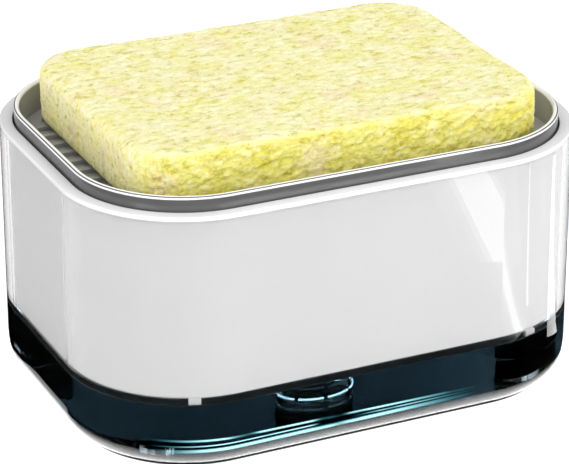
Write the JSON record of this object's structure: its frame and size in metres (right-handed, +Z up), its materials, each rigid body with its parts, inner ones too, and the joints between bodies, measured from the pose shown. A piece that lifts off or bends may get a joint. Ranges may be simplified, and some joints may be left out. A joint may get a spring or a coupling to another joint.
{
  "type": "sponge caddy soap pump",
  "caption": "Sponge caddy with a press pump: clear soap tank, white drop-in box and a sprung tray that draws soap up into its sponge when pressed.",
  "frame": {"origin": "middle of the footprint on the counter", "axes": "+X along the long side to the right seen from the front, +Y to the back, +Z up"},
  "size_m": [0.155, 0.116, 0.0904],
  "materials": {
    "clear_plastic": "clear polished plastic",
    "liquid_soap": "dark blue-green liquid soap",
    "white_plastic": "glossy white plastic",
    "silver_plastic": "glossy silver-grey plastic",
    "cellulose_sponge": "pale yellow cellulose sponge",
    "pump_plastic": "natural moulded plastic",
    "strainer_plastic": "natural translucent plastic",
    "silicone": "soft silicone",
    "pad_rubber": "grey anti-slip rubber",
    "stainless_steel": "drawn stainless steel"
  },
  "bodies": {
    "tank": {"clear_tank": "clear_plastic", "foot_pads": "pad_rubber", "soap_fill": "liquid_soap"},
    "insert": {"insert_box": "white_plastic", "pump_cylinder": "pump_plastic", "pump_gasket": "silicone", "intake_strainer": "strainer_plastic", "pump_collar": "white_plastic", "stem_bush": "pump_plastic", "stem_wiper": "silicone", "ball_cage": "pump_plastic", "return_spring": "stainless_steel"},
    "tray": {"press_tray": "silver_plastic", "pump_stem": "pump_plastic", "piston": "pump_plastic", "piston_ring": "silicone", "outlet_valve": "silicone", "outlet_nozzle": "silver_plastic"},
    "ball": {"inlet_ball": "stainless_steel"},
    "sponge": {"sponge": "cellulose_sponge"}
  },
  "joints": [
    {"name": "insert_lift", "type": "slide", "parent": "tank", "child": "insert", "axis": [0, 0, 1], "range_m": [0, 0.08]},
    {"name": "tray_press", "type": "slide", "parent": "insert", "child": "tray", "axis": [0, 0, -1], "range_m": [0, 0.008], "stiffness_N_per_m": 500, "springref_m": -0.012, "deforming": ["return_spring"]},
    {"name": "sponge_lift", "type": "slide", "parent": "tray", "child": "sponge", "axis": [0, 0, 1], "range_m": [0, 0.05]},
    {"name": "inlet_ball_lift", "type": "slide", "parent": "insert", "child": "ball", "axis": [0, 0, 1], "range_m": [0, 0.0013]}
  ]
}
